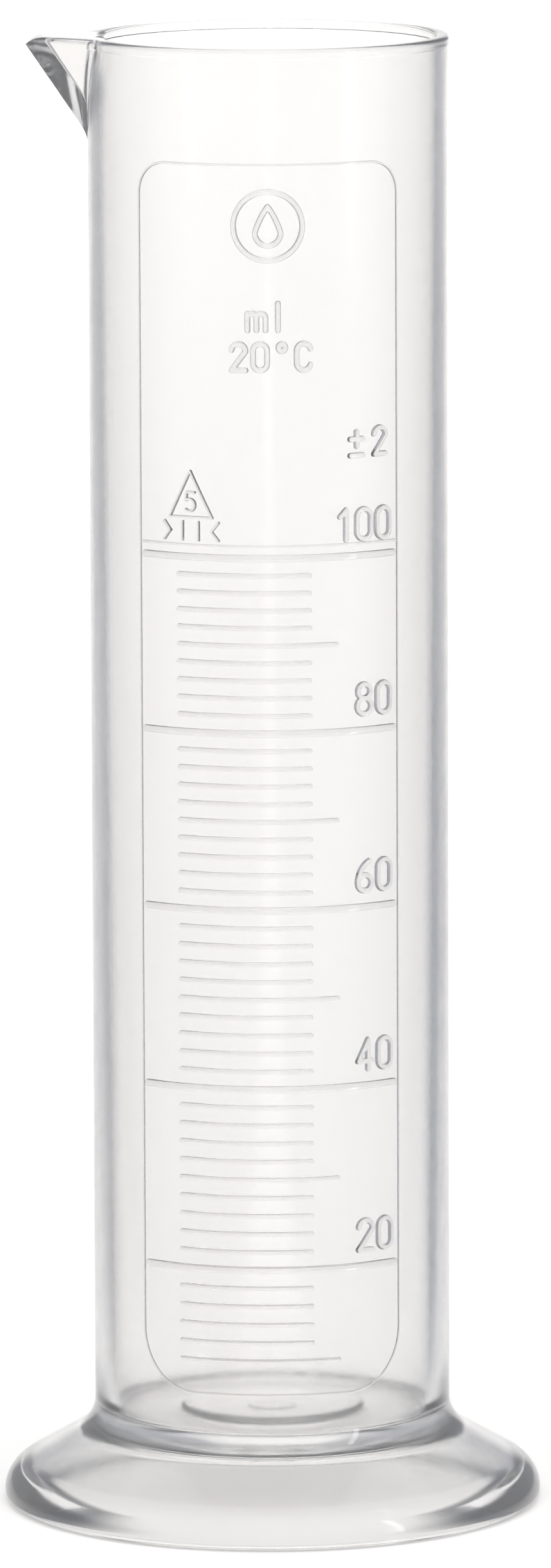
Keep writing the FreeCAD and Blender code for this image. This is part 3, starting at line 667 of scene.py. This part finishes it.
def figure_mesh(lines, width):
    """Points and faces of strokes that run together: a grid on the wall, drawn to their outline."""
    half = width / 2
    cell = width / CELLS_ACROSS
    every = np.concatenate(lines)
    start = every.min(axis=0) - width
    columns, rows = (int(c) for c in np.ceil((every.max(axis=0) + width - start) / cell))
    grid = np.stack(np.meshgrid(np.arange(columns + 1), np.arange(rows + 1), indexing="ij"), axis=-1)
    spots = (start + grid * cell).reshape(-1, 2)
    middles = (start + (grid[:-1, :-1] + 0.5) * cell).reshape(-1, 2)
    kept = distances(middles, lines)[0].reshape(columns, rows) < half

    quads = []
    for i, j in np.argwhere(kept):
        corner = i * (rows + 1) + j
        quads.append((corner, corner + rows + 1, corner + rows + 2, corner + 1))
    touched = np.zeros(len(spots), int)
    np.add.at(touched, np.array(quads).ravel(), 1)
    border = (touched > 0) & (touched < 4)
    far, away = distances(spots, lines)
    spots[border] += away[border] * (half - far[border])[:, None]
    rise = shoulder_height(np.minimum(far / half, 1)) * RELIEF
    rise[border] = 0

    used = np.flatnonzero(touched)
    above = np.full(len(spots), -1)
    above[used] = np.arange(len(used))
    under = used[~border[used]]
    below = above.copy()
    below[under] = len(used) + np.arange(len(under))
    top = np.column_stack([spots[used], rise[used]])
    foot = np.column_stack([spots[under], 0 * under])
    faces = [tuple(int(v) for v in above[list(quad)]) for quad in quads]
    faces += [tuple(int(v) for v in below[list(quad[::-1])]) for quad in quads]
    return on_wall(np.concatenate([top, foot])), faces


def raised_figures(node, figures, width=STROKE):
    """Figures, each given by its middle lines on the unrolled wall, made into one piece."""
    points, faces = [], []
    for lines in figures:
        made, sides = figure_mesh(lines, width)
        faces += [tuple(v + len(points) for v in side) for side in sides]
        points += list(made)
    add_piece(f"{node}_raised", points, faces, node)


def raised_row(node, names, width=STROKE):
    """A row of figures between the CAD mark's ends."""
    left, right, bottom, top = place_of(node)
    tall = top - bottom - width
    drawn = [[line * tall for line in middle_lines(name)] for name in names]
    lows = [min(line[:, 0].min() for line in lines) for lines in drawn]
    highs = [max(line[:, 0].max() for line in lines) for lines in drawn]
    first = left + width / 2 + (highs[0] - lows[0]) / 2
    last = right - width / 2 - (highs[-1] - lows[-1]) / 2
    middles = np.linspace(first, last, len(names))
    figures = []
    for lines, low_x, high_x, middle in zip(drawn, lows, highs, middles):
        shift = np.array((middle - (low_x + high_x) / 2, bottom + width / 2))
        figures.append([line + shift for line in lines])
    raised_figures(node, figures, width)


def framed(node, outer, inner, width, inner_height, inner_rise):
    """A closed outline with a smaller figure in its middle."""
    left, right, bottom, top = place_of(node)
    tall = top - bottom - width
    figures = []
    for name, height, rise in ((outer, tall, 0), (inner, inner_height, inner_rise)):
        lines = [line * height for line in middle_lines(name)]
        every = np.concatenate(lines)
        centre = (every[:, 0].min() + every[:, 0].max()) / 2
        shift = np.array(((left + right) / 2 - centre, bottom + width / 2 + rise))
        figures.append([line + shift for line in lines])
    raised_figures(node, figures, width)


def panel_outline():
    """The thin line round the panel that holds the scale."""
    half = WITNESS_LINE / 2
    left, right, bottom, top = place_of("panel_line")
    corners = [
        (right - half, top - half, PANEL_TOP_ROUND, 0),
        (left + half, top - half, PANEL_TOP_ROUND, 90),
        (left + half, bottom + half, PANEL_FOOT_ROUND, 180),
        (right - half, bottom + half, PANEL_FOOT_ROUND, 270),
    ]
    loop = []
    for x, y, radius, turn in corners:
        middle = math.radians(turn + 45)
        centre = (x - math.copysign(radius, math.cos(middle)), y - math.copysign(radius, math.sin(middle)))
        loop += arc(centre, radius, turn, turn + 90, 16)
    path = []
    for start, finish in zip(loop, loop[1:] + loop[:1]):
        path += straight(start, finish, WITNESS_STEP)
    skin = swept([(path, WITNESS_LINE, WITNESS_RELIEF)], closed=True)
    add_piece("panel_line_raised", *skin, "panel_line")


def split_across():
    """The thin line across the panel."""
    half = WITNESS_LINE / 2
    left, right, bottom, top = place_of("split_line")
    along = np.linspace(left + half, right - half, LINE_STEPS)
    path = np.column_stack([along, np.full(LINE_STEPS, (bottom + top) / 2)])
    add_piece("split_line_raised", *swept([(path, WITNESS_LINE, WITNESS_RELIEF)]), "split_line")


vessel()
for volume in range(10, 110, 10):
    scale_lines(f"line_{volume:03d}_ml", 1)
for volume in range(10, 100, 10):
    scale_lines(f"fine_lines_{volume:03d}_ml", 4)
for volume in range(20, 120, 20):
    raised_row(f"figures_{volume:03d}_ml", str(volume))
raised_row("tolerance_mark", ["plus_minus", "2"])
raised_row("temperature_mark", ["2", "0", "degree", "C"])
raised_row("unit_mark", ["m", "l"])
raised_row("chevron_mark", ["close", "l", "l", "open"], STROKE / 2)
framed("round_emblem", "ring", "drop", STROKE, inner_height=4.25 * MM, inner_rise=1.65 * MM)
framed("resin_mark", "triangle", "5", STROKE / 2, inner_height=2.1 * MM, inner_rise=0.65 * MM)
panel_outline()
split_across()

# ---------------------------------------------------------------- studio


def studio_floor():
    """A pale floor that sweeps up behind."""
    width, front, back, bend, wall = 8.0, -6.0, 5.0, 2.5, 3.0
    section = [(front, 0.0)]
    section += [(back * i / 20, 0.0) for i in range(21)]
    turns = np.linspace(0, math.pi / 2, 24)[1:]
    section += [(back + bend * math.sin(a), bend - bend * math.cos(a)) for a in turns]
    section.append((back + bend, bend + wall))
    points = [(x, y, z - FLOOR_CLEARANCE) for x in (-width, width) for y, z in section]
    count = len(section)
    faces = [(i, i + count, i + count + 1, i + 1) for i in range(count - 1)]
    mesh = bpy.data.meshes.new("studio_floor")
    mesh.from_pydata(points, [], faces)
    mesh.polygons.foreach_set("use_smooth", [True] * len(faces))
    mesh.materials.append(floor_material())
    floor = bpy.data.objects.new("studio_floor", mesh)
    bpy.context.scene.collection.objects.link(floor)


def studio_world():
    """A soft sky: light in front, darker to the sides and behind near the horizon, even overhead."""
    world = bpy.data.worlds.new("studio")
    bpy.context.scene.world = world
    world.use_nodes = True
    n = Nodes(world.node_tree)
    axes = n.add("ShaderNodeSeparateXYZ", {"Vector": n.add("ShaderNodeTexCoord").outputs["Generated"]})
    horizon = n.ramp(n.span(axes.outputs["Y"], -1.0, 1.0), [
        (0.0, (0.80, 0.83, 0.90)), (0.35, (0.58, 0.61, 0.68)),
        (0.52, (0.36, 0.38, 0.43)), (1.0, (0.46, 0.46, 0.50))])
    colour = n.mix(n.span(axes.outputs["Z"], 0.10, 0.75), horizon, DOME)
    backdrop = n.add("ShaderNodeBackground", {"Color": colour, "Strength": 1.0})
    n.add("ShaderNodeOutputWorld", {"Surface": backdrop.outputs["Background"]})


def soft_light(name, place, aim, width, height, power):
    """A rectangular light turned to the point that it lights."""
    lamp = bpy.data.lights.new(name, "AREA")
    lamp.shape = "RECTANGLE"
    lamp.size = width
    lamp.size_y = height
    lamp.energy = power
    light = bpy.data.objects.new(name, lamp)
    light.location = place
    light.rotation_euler = (Vector(aim) - Vector(place)).to_track_quat("-Z", "Y").to_euler()
    bpy.context.scene.collection.objects.link(light)


def studio_camera():
    """A long lens a little above the part, in front of it, tilted down."""
    lens = bpy.data.cameras.new("camera")
    lens.sensor_fit = "VERTICAL"
    lens.sensor_height = 36
    lens.lens = FOCAL_LENGTH
    lens.clip_end = 30
    lens.dof.use_dof = False
    camera = bpy.data.objects.new("camera", lens)
    tilt = Matrix.Rotation(math.radians(90) - CAMERA_DOWN, 4, "X")
    roll = Matrix.Rotation(CAMERA_ROLL, 4, "Z")
    camera.matrix_world = Matrix.Translation(CAMERA_PLACE) @ tilt @ roll
    bpy.context.scene.collection.objects.link(camera)
    bpy.context.scene.camera = camera


studio_floor()
studio_world()
soft_light("top_light", place=(0.0, 0.3, 2.2), aim=(0, 0, 0.05), width=2.4, height=2.4, power=6)
soft_light("right_strip", place=(1.3, -0.9, 0.5), aim=(0, 0, 0.08), width=0.10, height=1.2, power=2)
studio_camera()
bpy.context.scene.view_settings.view_transform = "Standard"
cycles = bpy.context.scene.cycles
cycles.max_bounces = LIGHT_BOUNCES
cycles.glossy_bounces = LIGHT_BOUNCES
cycles.transmission_bounces = LIGHT_BOUNCES
cycles.diffuse_bounces = DIFFUSE_BOUNCES
